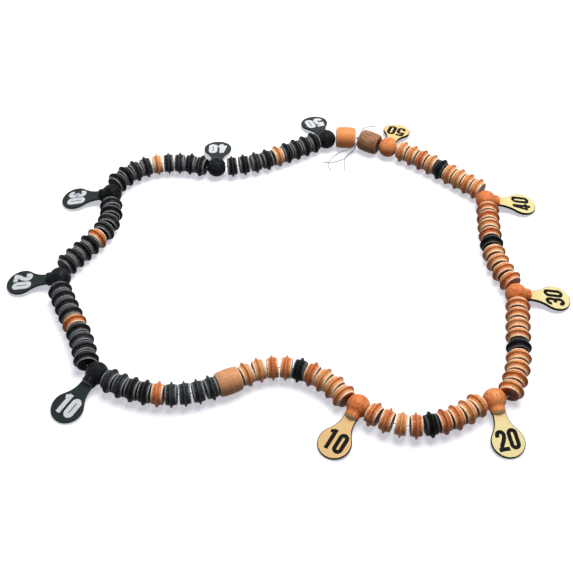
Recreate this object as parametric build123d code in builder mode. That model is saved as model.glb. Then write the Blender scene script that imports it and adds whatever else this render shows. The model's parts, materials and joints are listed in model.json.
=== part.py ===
"""Billiard bead scorer: two sides of fifty turned beads on one closed loop of thread.

Millimetres, +Z up. The loop lies on a table, the table's top is Z = 0, and the origin is under the
middle of the whole outline. +X is to the right and +Y away from the viewer.
"""
import os
from math import asin, atan2, cos, degrees, hypot, pi, radians, sin, sqrt, tan

from build123d import *

# Counting bead: a turned disc with two flat faces, low shoulders and a sharp ridge round its middle
bead_diameter = 22.0
bead_length = 9.5
bead_face_diameter = 16.8
bead_face_chamfer = 0.5
bead_shoulder_diameter = 17.6
bead_shoulder_width = 2.9
bead_nose_radius = 0.65
bead_flare_hollow = 0.3
bore_diameter = 2.4
bore_mouth = 0.4

# Barrel: a divider bead with a low crown and rounded edges
barrel_diameter = 22.0
barrel_length = 20.5
barrel_crown = 0.8
barrel_edge_radius = 2.4

# Pointer: a ball with a short stem, drilled across for the thread, slotted for its plate
ball_diameter = 19.5
ball_flat_diameter = 8.0
stem_diameter = 12.4
stem_past_ball = 3.25
stem_end_radius = 2.2
stem_root_radius = 4.5
slot_depth = 3.8
slot_clearance = 0.05
cut_overrun = 5.0

# Number plate: a flat drop shape, measured from the pointer's bore
plate_reach = 51.5
plate_width = 28.0
plate_thickness = 2.5
plate_neck_width = 11.6
plate_neck_straight = 0.8
plate_bevel = 0.7

# Thread, its knot and the room it leaves between the pieces
string_diameter = 0.8
knot_length = 3.0
knot_diameter = 3.4
knot_wraps = 3
knot_wrap_depth = 0.3
knot_end_diameter = 1.4
end_barrel_gap = 5.6
bead_clearance = 0.4

# How the thread bends, in degrees, counter-clockwise being positive. A stretch is four plain
# beads, and the tables run from stretch 1-4 to stretch 46-49. An end bend is the one beside the
# stretch's pointer or barrel, and a bead bend is each of its other four.
knot_heading = 163.5
knot_bend = 28.0
last_pale_bend = -11.0
first_dark_bend = 21.5
pale_end_bends = (5.0, 22.0, -3.5, -28.0, 52.5, 11.0, 24.5, 8.5, 47.0, 14.0)
pale_bead_bends = (-12.0, -9.0, 12.0, 7.0, 5.0, -0.5, -6.5, -1.0, 0.0, 2.5)
dark_end_bends = (2.0, 5.5, 39.5, 25.0, 34.0, 14.5, 30.5, -20.0, -8.0, 13.0)
dark_bead_bends = (7.5, 6.0, -3.0, 1.0, 0.0, -11.5, 11.5, 8.5, -4.5, -0.5)

# How far the beads stand apart besides the clearance, as shares of the bead's length
pale_end_play_shares = (0.0, 0.0, 0.0, 0.08, 0.06, 0.0, 0.07, 0.0, 0.08, 0.14)
pale_bead_play_shares = (0.0, 0.0, 0.02, 0.0, 0.1, 0.19, 0.11, 0.15, 0.1, 0.13)
dark_end_play_shares = (0.0, 0.0, 0.08, 0.15, 0.14, 0.28, 0.13, 0.0, 0.1, 0.0)
dark_bead_play_shares = (0.0, 0.0, 0.04, 0.06, 0.02, 0.0, 0.04, 0.03, 0.16, 0.07)
last_pale_play_share = 0.0
first_dark_play_share = 0.0

# The loose ends' routes from the knot, in shares of the thread's height over the table: along the
# thread, into the loop and up from the table. Where one end crosses another, it arches over it.
tail_route_shares = {
    "near": (
        (0.05, 0.08, 0.99), (0, 0.5, 0.91), (0.02, 1.07, 0.57), (0.42, 1.6, 0.09),
        (0.72, 2.2, 0.12), (1.35, 2.75, 0), (2.02, 3.24, 0.12), (2.55, 3.18, 0),
    ),
    "curled": (
        (-0.05, 0.08, 1.05), (0, 0.51, 1.03), (0.03, 1.15, 0.89), (0.6, 1.38, 0.58),
        (1.23, 1.56, 0.28), (1.76, 1.89, 0), (2.03, 2.6, 0), (2.08, 3.29, 0),
        (1.87, 3.82, 0), (1.55, 4.12, 0),
    ),
    "straight": (
        (-0.02, 0.08, 0.92), (0, 0.47, 0.77), (0.05, 1.0, 0.38), (0.56, 1.42, 0.06),
        (0.81, 1.96, 0), (0.6, 2.69, 0), (0.44, 3.36, 0), (0.24, 3.96, 0),
    ),
    "outer": (
        (0, -0.08, 1.0), (0, -0.55, 0.94), (0.05, -1.18, 0.74), (0.15, -1.91, 0.32),
        (0.15, -2.64, 0.02), (-0.29, -3.22, 0), (-0.96, -3.35, 0),
    ),
}
tail_fillet_share = 0.45

# What follows from the sizes above
string_height = max(bead_diameter, barrel_diameter, ball_diameter) / 2
floor_line = string_diameter / 2
string_area = pi * string_diameter ** 2 / 4
ball_radius = ball_diameter / 2
stem_reach = ball_radius + stem_past_ball
ball_half_length = sqrt(ball_radius ** 2 - (ball_flat_diameter / 2) ** 2)
plate_radius = plate_width / 2
plate_half = plate_thickness / 2
barrel_face_diameter = barrel_diameter - 2 * barrel_crown

# The plates lean until their tips' lower edges lie on the table
tip_distance = hypot(plate_reach - plate_bevel, plate_half)
lean = degrees(asin(string_height / tip_distance) - atan2(plate_half, plate_reach - plate_bevel))

beads_per_side = 50
tag_step = 10
marker_step = 5
closing_rounds = 60

half_lengths = {
    "bead": bead_length / 2,
    "marker": bead_length / 2,
    "barrel": barrel_length / 2,
    "pointer": ball_half_length,
}
face_radii = {
    "bead": bead_face_diameter / 2,
    "marker": bead_face_diameter / 2,
    "barrel": barrel_face_diameter / 2,
    "pointer": ball_flat_diameter / 2,
}


def kind_of(number):
    """What is strung at a number from 1 to 50: every fifth is a marker, every tenth a pointer."""
    if number % tag_step == 0:
        return "pointer"
    return "marker" if number % marker_step == 0 else "bead"


def strung_pieces():
    """Every strung piece as (kind, side, number), once round from the knot."""
    dark = [(kind_of(n), "dark", n) for n in range(beads_per_side, 0, -1)]
    pale = [(kind_of(n), "pale", n) for n in range(1, beads_per_side + 1)]
    front = [("barrel", "front", 0)]
    return [("barrel", "dark_end", 0)] + dark + front + pale + [("barrel", "pale_end", 0)]


def joint_between(piece, follower):
    """The bend and the play of the thread between two strung pieces."""
    if piece[1] == "dark_end":
        return first_dark_bend, first_dark_play_share * bead_length
    if follower[1] == "pale_end":
        return last_pale_bend, last_pale_play_share * bead_length
    plain = piece if piece[0] == "bead" else follower
    stretch = (plain[2] - 1) // marker_step
    at_end = {piece[0], follower[0]} & {"pointer", "barrel"}
    if plain[1] == "dark":
        bends = dark_end_bends if at_end else dark_bead_bends
        shares = dark_end_play_shares if at_end else dark_bead_play_shares
    else:
        bends = pale_end_bends if at_end else pale_bead_bends
        shares = pale_end_play_shares if at_end else pale_bead_play_shares
    return bends[stretch], shares[stretch] * bead_length


def gap_length(piece, follower, bend, play):
    """The thread's length between two faces, so that they clear each other at this bend."""
    turn = abs(radians(bend))
    if "pointer" in (piece[0], follower[0]):
        clear = ball_radius + bead_clearance - ball_half_length * cos(turn)
        return clear * (turn / sin(turn) if turn else 1) + play
    return bead_clearance + min(face_radii[piece[0]], face_radii[follower[0]]) * turn + play


def walk(pose, length, bend):
    """Follow the thread from a pose (x, y, heading) along an arc of this length and bend."""
    half = radians(bend) / 2
    chord = length * (sin(half) / half if half else 1)
    direction = radians(pose[2]) + half
    return pose[0] + chord * cos(direction), pose[1] + chord * sin(direction), pose[2] + bend


def lay_loop(start, bends, plays):
    """Walk once round from the knot: the thread's steps, each (pose, length, bend)."""
    pose = start
    steps = []

    def step(length, bend):
        nonlocal pose
        steps.append((pose, length, bend))
        pose = walk(pose, length, bend)

    knot_side = (end_barrel_gap - knot_length) / 2
    step(knot_side, knot_bend / 2)
    for index, piece in enumerate(pieces):
        step(2 * half_lengths[piece[0]], 0)
        if index < len(bends):
            gap = gap_length(piece, pieces[index + 1], bends[index], plays[index])
            step(gap, bends[index])
    step(knot_side, knot_bend / 2)
    step(knot_length, 0)
    return steps, pose


def close_loop(start, bends, plays):
    """Bend every joint a little more or less, evenly by place, until the thread's ends meet."""
    for _ in range(closing_rounds):
        steps, end = lay_loop(start, bends, plays)
        joints = [steps[2 * index + 2][0] for index in range(len(bends))]
        count = len(joints)
        mid_x = sum(pose[0] for pose in joints) / count
        mid_y = sum(pose[1] for pose in joints) / count
        spread_x = sum((pose[0] - mid_x) ** 2 for pose in joints)
        spread_y = sum((pose[1] - mid_y) ** 2 for pose in joints)
        all_turn = radians(start[2] + 360 - end[2])
        by_y = (start[0] - end[0] - all_turn * (mid_y - end[1])) / spread_y
        by_x = (end[1] - start[1] + all_turn * (end[0] - mid_x)) / spread_x
        bends = [
            bend + degrees(all_turn / count + by_y * (pose[1] - mid_y) + by_x * (pose[0] - mid_x))
            for bend, pose in zip(bends, joints)
        ]
    return bends


def plate_box(pose):
    """The plan box of the number plate that hangs from a pointer at this pose."""
    slope = radians(lean)
    outward = radians(pose[2] - 90)
    middle = (plate_reach - plate_radius) * cos(slope)
    rim = (plate_half - plate_bevel) * sin(slope)
    box = []
    for place, along, across in (
        (pose[0], cos(outward), sin(outward)),
        (pose[1], sin(outward), cos(outward)),
    ):
        reach = plate_radius * hypot(along * cos(slope), across) + rim * abs(along)
        box.append((place + middle * along - reach, place + middle * along + reach))
    return box


def at_middle(step):
    """The pose half-way along a straight step."""
    return walk(step[0], step[1] / 2, 0)


# Lay the loop from the knot, close it, then put the middle of its outline over the origin
pieces = strung_pieces()
given_joints = [joint_between(piece, after) for piece, after in zip(pieces, pieces[1:])]
plays = [play for bend, play in given_joints]
bends = close_loop((0, 0, knot_heading), [bend for bend, play in given_joints], plays)
steps, end = lay_loop((0, 0, knot_heading), bends, plays)
boxes = [
    plate_box(at_middle(steps[2 * index + 1]))
    for index, piece in enumerate(pieces)
    if piece[0] == "pointer"
]
start = (
    -(min(box[0][0] for box in boxes) + max(box[0][1] for box in boxes)) / 2,
    -(min(box[1][0] for box in boxes) + max(box[1][1] for box in boxes)) / 2,
    knot_heading,
)
steps, end = lay_loop(start, bends, plays)
places = [at_middle(steps[2 * index + 1]) for index in range(len(pieces))]
knot_place = at_middle(steps[-1])
print(f"the thread's ends meet within {hypot(end[0] - start[0], end[1] - start[1]):.6f} mm")
print(f"the plates lean by {lean:.2f} degrees")
print(f"knot at {knot_place[0]:.3f} {knot_place[1]:.3f} heading {knot_place[2] % 360:.3f}")
for piece, place, before, after in zip(pieces, places, steps[0::2], steps[2::2]):
    print(
        f"piece {piece[0]} {piece[1]} {piece[2]} at {place[0]:.3f} {place[1]:.3f}"
        f" heading {place[2] % 360:.3f} gaps {before[1]:.3f} {after[1]:.3f}"
    )


def bore_plane(place):
    """A piece's own plane: X along its bore, Y up, Z away from the loop."""
    heading = radians(place[2])
    return Plane(
        origin=(place[0], place[1], string_height),
        x_dir=(cos(heading), sin(heading), 0),
        z_dir=(sin(heading), -cos(heading), 0),
    )


def bore_axis(place):
    """The line down the middle of a piece's bore."""
    heading = radians(place[2])
    return Axis((place[0], place[1], string_height), (cos(heading), sin(heading), 0))


def tag_plane(place):
    """A pointer's own plane: X along its bore, Y out along its stem, Z out of the plate's front."""
    outward = radians(place[2] - 90)
    slope = radians(lean)
    return Plane(
        origin=(place[0], place[1], string_height),
        x_dir=(sin(outward), -cos(outward), 0),
        z_dir=(cos(outward) * sin(slope), sin(outward) * sin(slope), cos(slope)),
    )


def tag_axis(place):
    """The line from a pointer's bore out along its stem."""
    plane = tag_plane(place)
    return Axis(plane.origin, plane.y_dir)


def draw_bead_section():
    """A bead's section above its bore line."""
    half = bead_length / 2
    bore = bore_diameter / 2
    face = bead_face_diameter / 2
    shoulder = (half - bead_shoulder_width, bead_shoulder_diameter / 2)
    nose_middle = bead_diameter / 2 - bead_nose_radius
    with BuildLine() as outline:
        Polyline(
            (0, bore),
            (half - bore_mouth, bore),
            (half, bore + bore_mouth),
            (half, face - bead_face_chamfer),
            (half - bead_face_chamfer, face),
            shoulder,
        )
        SagittaArc(shoulder, (bead_nose_radius, nose_middle), bead_flare_hollow)
        CenterArc((0, nose_middle), bead_nose_radius, 0, 90)
        mirror(about=Plane.YZ)
    make_face(outline.edges())


def draw_barrel_section():
    """A barrel's section above its bore line."""
    half = barrel_length / 2
    bore = bore_diameter / 2
    face = barrel_face_diameter / 2
    with BuildLine() as outline:
        Polyline(
            (-half, face),
            (-half, bore + bore_mouth),
            (bore_mouth - half, bore),
            (half - bore_mouth, bore),
            (half, bore + bore_mouth),
            (half, face),
        )
        ThreePointArc((half, face), (0, barrel_diameter / 2), (-half, face))
    make_face(outline.edges())


def draw_pointer_section():
    """A pointer's section beside its stem's line: ball, hollow root, stem and rounded end."""
    stem = stem_diameter / 2
    root_x = stem + stem_root_radius
    root_y = sqrt((ball_radius + stem_root_radius) ** 2 - root_x ** 2)
    rise = degrees(atan2(root_y, root_x))
    end_height = stem_reach - stem_end_radius
    with BuildLine() as outline:
        CenterArc((0, 0), ball_radius, -90, 90 + rise)
        CenterArc((root_x, root_y), stem_root_radius, 180, rise)
        Line((stem, root_y), (stem, end_height))
        CenterArc((stem - stem_end_radius, end_height), stem_end_radius, 0, 90)
        Polyline((stem - stem_end_radius, stem_reach), (0, stem_reach), (0, -ball_radius))
    make_face(outline.edges())


def draw_plate_outline():
    """The drop shape: a neck that leaves the stem straight and flares into a round end."""
    neck = plate_neck_width / 2
    middle = plate_reach - plate_radius
    tongue_foot = stem_reach - slot_depth
    flare_start = stem_reach + plate_neck_straight
    drop = middle - flare_start
    flare_radius = (drop ** 2 / (plate_radius - neck) - plate_radius - neck) / 2
    share = plate_radius / (plate_radius + flare_radius)
    touch = ((neck + flare_radius) * share, middle - drop * share)
    turn = degrees(atan2(drop, neck + flare_radius))
    with BuildLine() as outline:
        Polyline((0, tongue_foot), (neck, tongue_foot), (neck, flare_start))
        CenterArc((neck + flare_radius, flare_start), flare_radius, 180 - turn, turn)
        ThreePointArc(touch, (plate_radius, middle), (0, plate_reach))
        mirror(about=Plane.YZ)
    make_face(outline.edges())


os.makedirs("parts", exist_ok=True)


def hand_over(piece, name):
    """Label a finished piece and write it."""
    piece.part.label = name
    export_step(piece.part, f"parts/{name}.step")


def make_beads(group, name):
    """A group of alike beads, one solid each, at their places."""
    with BuildPart() as beads:
        for place in group:
            with BuildSketch(bore_plane(place)):
                draw_bead_section()
            revolve(axis=bore_axis(place))
    hand_over(beads, name)


def make_barrel(place, name):
    """A barrel with its edges rounded."""
    with BuildPart() as barrel:
        with BuildSketch(bore_plane(place)):
            draw_barrel_section()
        revolve(axis=bore_axis(place))
        rims = barrel.edges().filter_by(GeomType.CIRCLE).sort_by(SortBy.RADIUS)[-2:]
        fillet(rims, radius=barrel_edge_radius)
    hand_over(barrel, name)


def make_pointer(place, name):
    """A ball turned with its stem, then faced, drilled across and slotted."""
    plane = tag_plane(place)
    with BuildPart() as pointer:
        with BuildSketch(plane):
            draw_pointer_section()
        revolve(axis=tag_axis(place))
        with Locations(plane):
            Box(
                2 * ball_half_length,
                2 * (stem_reach + cut_overrun),
                ball_diameter + cut_overrun,
                mode=Mode.INTERSECT,
            )
            Cylinder(bore_diameter / 2, ball_diameter, rotation=(0, 90, 0), mode=Mode.SUBTRACT)
        mouths = pointer.edges().filter_by(GeomType.CIRCLE).sort_by(SortBy.RADIUS)[:2]
        chamfer(mouths, length=bore_mouth)
        with Locations(plane * Location((0, stem_reach - slot_depth, 0))):
            Box(
                stem_diameter + cut_overrun,
                slot_depth + cut_overrun,
                plate_thickness + 2 * slot_clearance,
                align=(Align.CENTER, Align.MIN, Align.CENTER),
                mode=Mode.SUBTRACT,
            )
    hand_over(pointer, name)


def make_plate(place, name):
    """A flat plate with both its edges bevelled."""
    with BuildPart() as plate:
        with BuildSketch(tag_plane(place).offset(-plate_half)):
            draw_plate_outline()
        extrude(amount=plate_thickness)
        broad = plate.faces().sort_by(SortBy.AREA)[-2:]
        rims = broad.edges().group_by(tag_axis(place))[1:]
        chamfer([edge for group in rims for edge in group], length=plate_bevel)
    hand_over(plate, name)


for index, (piece, place) in enumerate(zip(pieces, places)):
    kind, side, number = piece
    if kind == "barrel":
        make_barrel(place, f"{side}_barrel")
    elif kind == "marker":
        make_beads([place], f"{side}_side_marker_{number:02d}")
    elif kind == "pointer":
        make_pointer(place, f"{side}_pointer_{number}")
        make_plate(place, f"{side}_plate_{number}")
    elif number % marker_step == 1:
        group = [places[pieces.index(("bead", side, number + step))] for step in range(4)]
        make_beads(group, f"{side}_beads_{number:02d}_{number + 3:02d}")


def report_tube(name, tube, length):
    """Print how a tube's volume compares with its section times its length."""
    share = tube.part.volume / (string_area * length)
    print(f"{name}: {length:.1f} mm long, volume {share:.4f} of section times length")


def tail_points(shares):
    """A loose end's route points on the table's axes."""
    heading = radians(knot_place[2])
    points = []
    for along, inward, up in shares:
        points.append(
            Vector(
                knot_place[0] + string_height * (along * cos(heading) - inward * sin(heading)),
                knot_place[1] + string_height * (along * sin(heading) + inward * cos(heading)),
                floor_line + up * (string_height - floor_line),
            )
        )
    return points


def fillet_radii(points):
    """The arcs' radii at a route's corners: each arc takes the same share of the shorter run."""
    radii = []
    for before, corner, after in zip(points, points[1:], points[2:]):
        half_turn = radians((corner - before).get_angle(after - corner)) / 2
        shorter = min((corner - before).length, (after - corner).length)
        radii.append(tail_fillet_share * shorter / tan(half_turn))
    return radii


# The thread through every bore, from the knot once round to the knot
with BuildPart() as string:
    with BuildLine(Plane.XY.offset(string_height)) as string_route:
        for pose, length, bend in steps[:-1]:
            direction = (cos(radians(pose[2])), sin(radians(pose[2])))
            if bend:
                JernArc(pose[:2], direction, length / abs(radians(bend)), bend)
            else:
                Line(pose[:2], walk(pose, length, 0)[:2])
    with BuildSketch(Plane(origin=string_route.line @ 0, z_dir=string_route.line % 0)):
        Circle(string_diameter / 2)
    sweep(path=string_route.wires()[0])
report_tube("string", string, sum(length for pose, length, bend in steps[:-1]))
hand_over(string, "string")

# The loose ends, each a thread that leaves the knot and comes down to the table
tails = []
for name, shares in tail_route_shares.items():
    points = tail_points(shares)
    radii = fillet_radii(points)
    with BuildPart() as tail:
        with BuildLine() as tail_route:
            FilletPolyline(*points, radius=radii)
        with BuildSketch(Plane(origin=tail_route.line @ 0, z_dir=tail_route.line % 0)):
            Circle(string_diameter / 2)
        sweep(path=tail_route.wires()[0])
    print(f"{name} end: arc radii " + " ".join(f"{radius:.1f}" for radius in radii))
    report_tube(f"{name} end", tail, tail_route.wires()[0].length)
    hand_over(tail, f"string_end_{name}")
    tails.append(tail)

# The knot: the thread wrapped round itself, with its loose ends let in
knot_plane = bore_plane(knot_place)
wrap_width = knot_length / knot_wraps
valleys = [
    (wrap * wrap_width - knot_length / 2, knot_diameter / 2 - knot_wrap_depth)
    for wrap in range(1, knot_wraps)
]
knot_start = (-knot_length / 2, knot_end_diameter / 2)
knot_end = (knot_length / 2, knot_end_diameter / 2)
rims = [knot_start] + valleys + [knot_end]
with BuildPart() as knot:
    with BuildSketch(knot_plane):
        with BuildLine():
            for rim, next_rim in zip(rims, rims[1:]):
                ThreePointArc(rim, (rim[0] + wrap_width / 2, knot_diameter / 2), next_rim)
            Polyline(knot_end, (knot_length / 2, 0), (-knot_length / 2, 0), knot_start)
        make_face()
    revolve(axis=bore_axis(knot_place))
    for tail in tails:
        add(tail.part, mode=Mode.SUBTRACT)
hand_over(knot, "string_knot")
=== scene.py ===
"""The finished look of the billiard bead scorer, built round its packed frame.

Metres, +Z up, in the frame's own axes. The turned pieces, the plates and their numbers are made as
meshes in a local frame each, and laid out at the places that the frame's solids and joints give.
"""

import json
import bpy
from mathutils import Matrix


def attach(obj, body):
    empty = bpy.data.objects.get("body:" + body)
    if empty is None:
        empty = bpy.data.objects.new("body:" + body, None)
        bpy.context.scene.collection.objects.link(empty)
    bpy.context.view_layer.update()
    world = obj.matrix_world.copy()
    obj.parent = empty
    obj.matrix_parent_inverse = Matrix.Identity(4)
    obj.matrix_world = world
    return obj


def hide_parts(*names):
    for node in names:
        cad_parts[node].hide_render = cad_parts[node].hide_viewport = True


bl_info = {
    "name": "Billiard bead scorer",
    "version": (1, 0, 0),
    "blender": (4, 5, 0),
    "location": "3D View > Sidebar > Scorer",
    "description": "Turned beads, number plates and thread of the bead scorer, on a pale stage",
    "category": "Add Mesh",
}

from math import atan2, cos, pi, radians, sin, sqrt, tan

import bpy
import numpy as np
from bpy.props import FloatProperty, FloatVectorProperty, IntProperty, PointerProperty
from mathutils import Matrix, Vector

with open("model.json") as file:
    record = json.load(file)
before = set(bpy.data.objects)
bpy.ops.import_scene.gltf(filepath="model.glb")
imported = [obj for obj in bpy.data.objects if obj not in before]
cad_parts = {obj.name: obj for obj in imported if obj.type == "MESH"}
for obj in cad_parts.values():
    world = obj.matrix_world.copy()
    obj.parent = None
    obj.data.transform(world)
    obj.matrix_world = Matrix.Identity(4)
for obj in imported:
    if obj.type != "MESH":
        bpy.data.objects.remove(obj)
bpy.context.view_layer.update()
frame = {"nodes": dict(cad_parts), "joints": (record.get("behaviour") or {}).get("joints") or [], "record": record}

MM = 0.001
SIDES = ("pale", "dark")
NUMBERS = (10, 20, 30, 40, 50)
UP = Vector((0, 0, 1))

# Faces that meet at less than this are smoothed into each other
SMOOTH_UP_TO = radians(38)

# How far each plate has yellowed, by its number
YELLOWING = {10: 0.9, 20: 0.12, 30: 0.08, 40: 0.12, 50: 0.55}

# The finish of a marker in each colour, and each barrel's finish with the slot that it fills
MARKERS = {"pale": "pale_wood", "dark": "black_marker"}
BARRELS = {
    "dark_end": ("orange_barrel", "pale_wood"),
    "front": ("tan_barrel", "pale_wood"),
    "pale_end": ("brown_wood", "brown_wood"),
}

# Each pattern's features to the metre, its detail and roughness, and how it is stretched
PATTERNS = {
    "sway": (90, 2, 0.5, (1, 1, 0.25)),
    "fibre": (900, 4, 0.6, (1, 1, 0.07)),
    "pores": (2600, 2, 0.5, (1, 1, 0.06)),
    "patches": (170, 3, 0.55, (1, 1, 1)),
    "rubbing": (420, 4, 0.6, (1, 1, 1)),
    "tool_marks": (2200, 2, 0.5, (0.02, 0.02, 1)),
    "clouds": (140, 3, 0.55, (1, 1, 1)),
    "grit": (1500, 3, 0.65, (1, 1, 1)),
    "paint": (700, 3, 0.6, (1, 1, 1)),
    "nylon": (600, 2, 0.5, (1, 1, 1)),
    "floor": (25, 2, 0.5, (1, 1, 1)),
}
RINGS_TO_THE_METRE = 620

# Each lamp's place, its width, its power in watts and its tone
LAMPS = {
    "key": ((0.24, 0.34, 1.3), 0.9, 22, (1, 0.985, 0.96)),
    "fill": ((-0.9, -0.9, 0.9), 1.2, 1.6, (0.95, 0.97, 1)),
}

# The loose ends' routes, as on the frame: shares of the thread's height over the table, along the
# thread, into the loop and up from the table, with each end's real length.
LOOSE_ENDS = {
    "near": (0.0518, (
        (0.05, 0.08, 0.99), (0, 0.5, 0.91), (0.02, 1.07, 0.57), (0.42, 1.6, 0.09),
        (0.72, 2.2, 0.12), (1.35, 2.75, 0), (2.02, 3.24, 0.12), (2.55, 3.18, 0),
    )),
    "curled": (0.0607, (
        (-0.05, 0.08, 1.05), (0, 0.51, 1.03), (0.03, 1.15, 0.89), (0.6, 1.38, 0.58),
        (1.23, 1.56, 0.28), (1.76, 1.89, 0), (2.03, 2.6, 0), (2.08, 3.29, 0),
        (1.87, 3.82, 0), (1.55, 4.12, 0),
    )),
    "straight": (0.0485, (
        (-0.02, 0.08, 0.92), (0, 0.47, 0.77), (0.05, 1.0, 0.38), (0.56, 1.42, 0.06),
        (0.81, 1.96, 0), (0.6, 2.69, 0), (0.44, 3.36, 0), (0.24, 3.96, 0),
    )),
    "outer": (0.0452, (
        (0, -0.08, 1.0), (0, -0.55, 0.94), (0.05, -1.18, 0.74), (0.15, -1.91, 0.32),
        (0.15, -2.64, 0.02), (-0.29, -3.22, 0), (-0.96, -3.35, 0),
    )),
}


def length(name, description, size):
    """A length that a user can change."""
    return FloatProperty(
        name=name, description=description, default=size, unit="LENGTH", min=0, precision=5
    )


def share(name, description, part):
    """A share from nothing to all."""
    return FloatProperty(
        name=name, description=description, default=part, min=0, max=1, subtype="FACTOR"
    )


def count(name, description, number):
    """A whole number of steps."""
    return IntProperty(name=name, description=description, default=number, min=3)


def colour(name, description, red, green, blue):
    """A colour, in linear light."""
    return FloatVectorProperty(
        name=name, description=description, default=(red, green, blue), size=3, min=0, max=1,
        subtype="COLOR",
    )


class ScorerBeads(bpy.types.PropertyGroup):
    """Sizes of the counting and marker beads"""
    diameter: length("Diameter", "Across the ridge", 22 * MM)
    length: length("Length", "From face to face", 9.5 * MM)
    face: length("Face diameter", "Across a flat face", 16.8 * MM)
    shoulder: length("Shoulder diameter", "Across the shoulder's inner edge", 17.6 * MM)
    shoulder_width: length("Shoulder width", "From a face to the shoulder's inner edge", 2.9 * MM)
    nose: length("Nose radius", "Rounding of the ridge", 0.65 * MM)
    hollow: length("Hollow", "Depth of the flare between shoulder and ridge", 0.3 * MM)
    edge: length("Edge radius", "Rounding of the face's rim", 0.35 * MM)
    bore: length("Bore", "Diameter of the hole for the thread", 2.4 * MM)
    mouth: length("Bore mouth", "Countersink of the bore", 0.4 * MM)
    wobble: length("Wobble", "How far the ridge runs out of round", 0.09 * MM)
    turns: count("Turns", "Steps round a bead", 56)


class ScorerBarrels(bpy.types.PropertyGroup):
    """Sizes of the three divider barrels"""
    diameter: length("Diameter", "Across the crown", 22 * MM)
    length: length("Length", "From face to face", 20.5 * MM)
    crown: length("Crown", "How much the barrel swells at its middle", 0.8 * MM)
    edge: length("Edge radius", "Rounding of the two rims", 2.4 * MM)
    turns: count("Turns", "Steps round a barrel", 72)


class ScorerPointers(bpy.types.PropertyGroup):
    """Sizes of the pointers, each a ball with a stem"""
    ball: length("Ball diameter", "Across the ball", 19.5 * MM)
    flat: length("Flat diameter", "Across the flats where the thread goes in", 8 * MM)
    stem: length("Stem diameter", "Across the stem", 12.4 * MM)
    reach: length("Stem reach", "From the bore to the stem's end", 13 * MM)
    root: length("Root radius", "Hollow between ball and stem", 4.5 * MM)
    end: length("End radius", "Rounding of the stem's end", 2.2 * MM)
    slot: length("Slot depth", "How deep the plate is let in", 3.8 * MM)
    fit: length("Slot clearance", "Room each side of the plate", 0.05 * MM)
    turns: count("Turns", "Steps round a pointer", 72)


class ScorerPlates(bpy.types.PropertyGroup):
    """Sizes of the number plates"""
    reach: length("Reach", "From the bore to the plate's tip", 51.5 * MM)
    width: length("Width", "Across the round end", 28 * MM)
    neck: length("Neck width", "Across the neck", 11.6 * MM)
    straight: length("Straight neck", "Straight stretch past the stem", 0.8 * MM)
    thickness: length("Thickness", "Through the plate", 2.5 * MM)
    bevel: length("Bevel", "Width of the bevel round both faces", 0.7 * MM)


class ScorerNumbers(bpy.types.PropertyGroup):
    """Sizes of the figures on the plates"""
    height: length("Height", "Height of a figure", 18.4 * MM)
    width: length("Width", "Width of a figure", 8.8 * MM)
    black_stroke: length("Black stroke", "Width of a black figure's line", 3.4 * MM)
    white_stroke: length("White stroke", "Width of a white figure's line", 4.0 * MM)
    gap: length("Gap", "Between the two figures", 0.9 * MM)
    middle: length("Middle", "From the bore to the figures' middle", 36 * MM)
    proud: length("Paint", "How far the paint stands above the plate", 0.06 * MM)
    sunk: length("Engraving", "How deep the figures are cut", 0.3 * MM)


class ScorerThread(bpy.types.PropertyGroup):
    """Size of the thread"""
    diameter: length("Diameter", "Thickness of the thread", 0.8 * MM)


class ScorerColours(bpy.types.PropertyGroup):
    """Colours of the scorer's finishes"""
    tan: colour("Tan", "The palest of the varnished beads", 1.0, 0.54, 0.24)
    orange: colour("Orange", "The common varnished bead", 0.98, 0.34, 0.11)
    russet: colour("Russet", "The deepest of the varnished beads", 0.60, 0.13, 0.03)
    # This edge colour is also the painted highlight along the varnished rims
    bare_and_highlight: colour("Bare wood", "Where the varnish has worn off an edge", 1.0, 0.92, 0.66)
    black: colour("Black stain", "The dark side's beads", 0.020, 0.023, 0.026)
    # This edge colour is also the painted highlight along the black rims
    grey: colour("Worn stain", "Where the black has worn off an edge", 0.40, 0.41, 0.43)
    peach: colour("Peach", "The front barrel", 0.95, 0.43, 0.20)
    brown: colour("Brown", "The pale side's end barrel", 0.33, 0.16, 0.085)
    moss: colour("Moss", "The grey-green in that barrel", 0.045, 0.06, 0.035)
    cream: colour("Cream", "The pale plates' faces", 0.92, 0.84, 0.45)
    amber: colour("Amber", "Where the pale plates' faces have yellowed", 0.88, 0.56, 0.24)
    core: colour("Core", "The pale plates' edges", 0.006, 0.006, 0.006)
    slate: colour("Slate", "The dark plates", 0.020, 0.032, 0.031)
    white: colour("White", "The dark plates' figures", 0.80, 0.82, 0.90)
    nylon: colour("Nylon", "The clear thread", 0.34, 0.34, 0.42)


class ScorerStage(bpy.types.PropertyGroup):
    """Camera, light and floor"""
    distance: length("Camera distance", "From the camera to the table, straight down", 0.666)
    behind: length("Camera set-back", "From the camera to the loop's middle, along the table", 0.62989)
    aside: length("Camera offset", "From the loop's middle to the camera, sideways", 0.06 * MM)
    lens: FloatProperty(
        name="Lens", description="Focal length in millimetres", default=61.38, subtype="DISTANCE_CAMERA"
    )
    tilt: FloatProperty(
        name="Camera tilt", description="From straight down", default=radians(42), subtype="ANGLE"
    )
    glow: colour("Floor's glow", "The tone of the glow that lifts the floor to white", 0.93, 0.92, 1)
    haze: colour("Sky's tone", "The tone of the light from the white surroundings", 0.9, 0.92, 1)
    floor: colour("Floor", "The pale floor", 0.80, 0.80, 0.82)
    floor_size: length("Floor size", "Side of the floor", 30.0)
    sky: share("Sky", "How bright the white surroundings light the scorer", 0.04)
    lift: share("Lift", "How much brighter the floor looks than it is lit", 0.54)
    bounce: share("Bounce", "How much of its light the floor sends back up", 0.06)


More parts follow.
